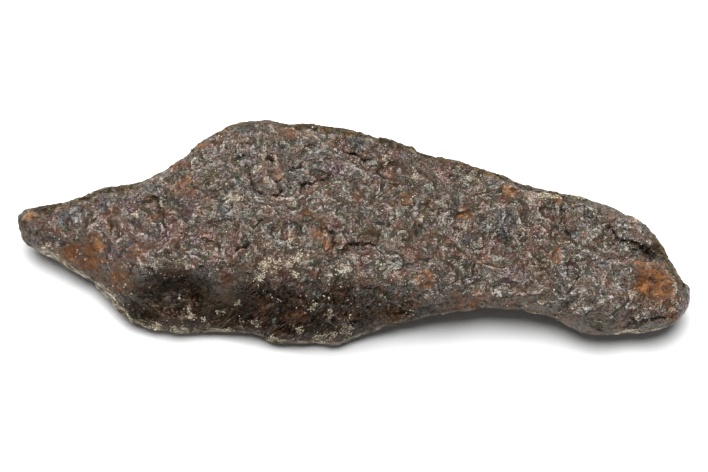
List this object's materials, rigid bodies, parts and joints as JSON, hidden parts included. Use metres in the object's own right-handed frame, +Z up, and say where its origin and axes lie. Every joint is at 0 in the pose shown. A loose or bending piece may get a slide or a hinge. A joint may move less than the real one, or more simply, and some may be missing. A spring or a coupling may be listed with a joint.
{
  "type": "iron meteorite",
  "caption": "Long flat sliver of weathered nickel-iron with a pointed end, a round end and a scooped front flank, lying on a small flat spot.",
  "frame": {"origin": "on the surface the stone rests on, under the middle of its box", "axes": "+X along the sliver to its round end, +Y to its back edge, +Z up from the resting spot"},
  "size_m": [0.0672, 0.0224, 0.0093],
  "materials": {
    "weathered_iron": "rough grey-brown oxide crust with rust patches and pale dust in its hollows"
  },
  "bodies": {
    "root": {"meteorite": "weathered_iron"}
  },
  "joints": []
}
